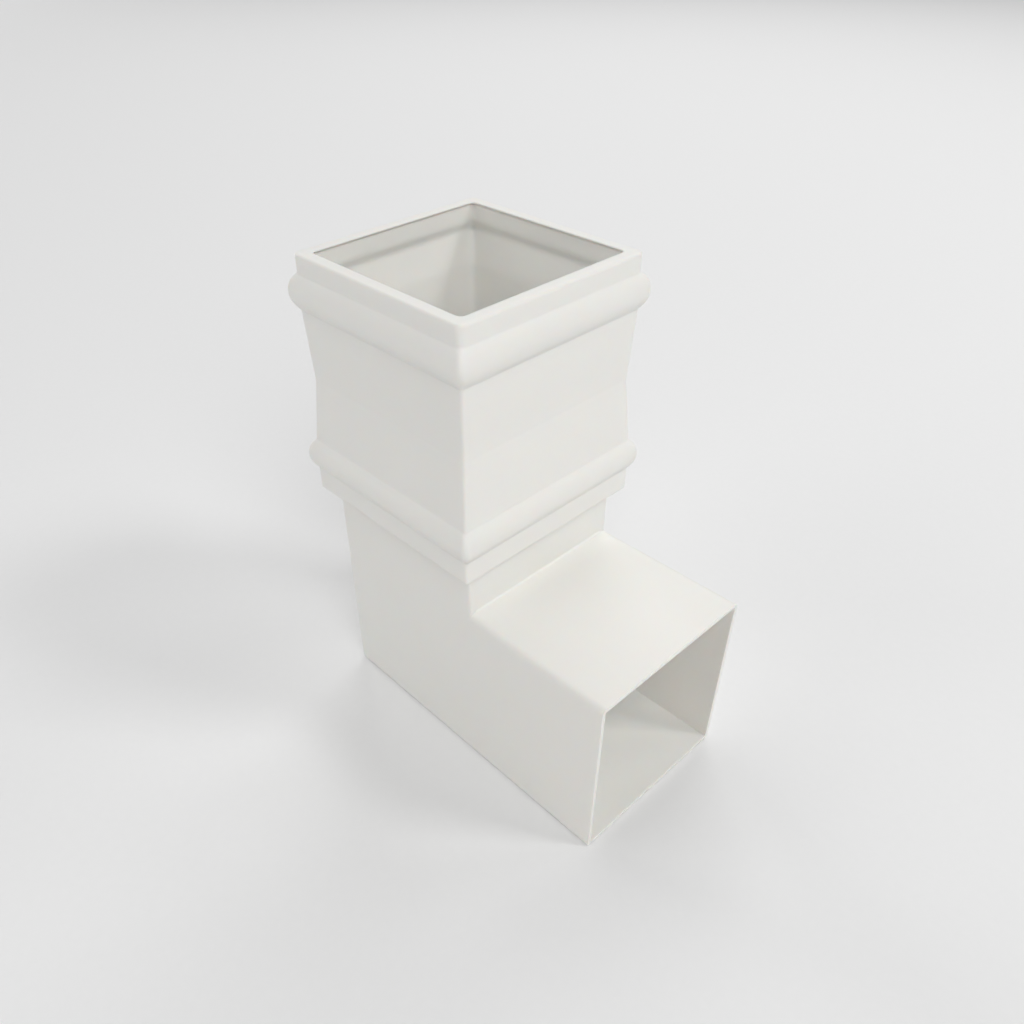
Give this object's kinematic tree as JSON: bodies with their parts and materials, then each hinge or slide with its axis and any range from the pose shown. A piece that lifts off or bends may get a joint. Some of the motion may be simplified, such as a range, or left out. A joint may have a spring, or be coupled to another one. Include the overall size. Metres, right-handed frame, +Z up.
{
  "type": "downspout elbow",
  "caption": "Square downspout elbow: a waisted, beaded socket on top leads water from an upright downpipe into a level arm with an open end.",
  "frame": {"origin": "on the upright axis of the socket, at the flat underside of the arm", "axes": "+Z up along the axis of the socket, +X along the level arm towards its open end, +Y across the arm"},
  "size_m": [0.1328, 0.0816, 0.171],
  "materials": {
    "white_pvc": "smooth moulded white PVC-U"
  },
  "bodies": {
    "root": {"downspout_elbow": "white_pvc"}
  },
  "joints": []
}
